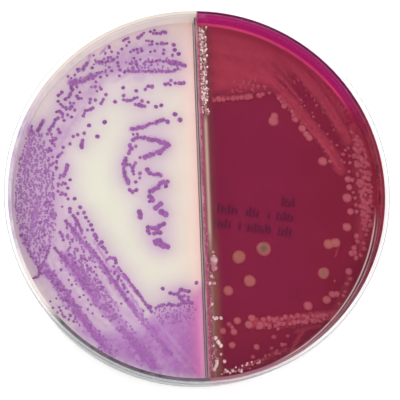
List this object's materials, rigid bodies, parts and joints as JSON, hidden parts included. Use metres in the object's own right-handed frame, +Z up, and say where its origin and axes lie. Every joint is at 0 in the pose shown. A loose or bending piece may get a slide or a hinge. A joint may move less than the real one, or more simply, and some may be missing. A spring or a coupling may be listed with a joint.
{
  "type": "petri dish",
  "caption": "round clear petri dish with a straight divider, a loose clear lid, cream gel with violet growth in one half and dark red gel with salmon colonies in the other",
  "frame": {"origin": "middle of the foot ring's underside, where the dish stands", "axes": "+Z up through the lid, Y along the divider, -X the cream gel's side, +X the red gel's side"},
  "size_m": [0.09, 0.09, 0.0161],
  "materials": {
    "clear_dish": "clear, gloss",
    "clear_lid": "clear, gloss",
    "cream_gel": "moist, smooth",
    "red_gel": "moist, smooth, translucent",
    "violet_film": "moist",
    "violet_colony": "moist",
    "salmon_film": "moist",
    "salmon_colony": "moist",
    "tan_colony": "moist",
    "pale_bead": "wet, gloss",
    "print_ink": "matt"
  },
  "bodies": {
    "dish": {"dish_base": "clear_dish", "cream_agar": "cream_gel", "red_agar": "red_gel", "violet_growth": "violet_film", "violet_colonies": "violet_colony", "red_growth": "salmon_film", "red_colonies": "salmon_colony", "large_colonies": "tan_colony", "divider_growth": "pale_bead", "base_mark": "print_ink"},
    "lid": {"lid": "clear_lid"}
  },
  "joints": [
    {"name": "lid_lift", "type": "slide", "parent": "dish", "child": "lid", "axis": [0, 0, 1], "range_m": [0, 0.03]}
  ]
}
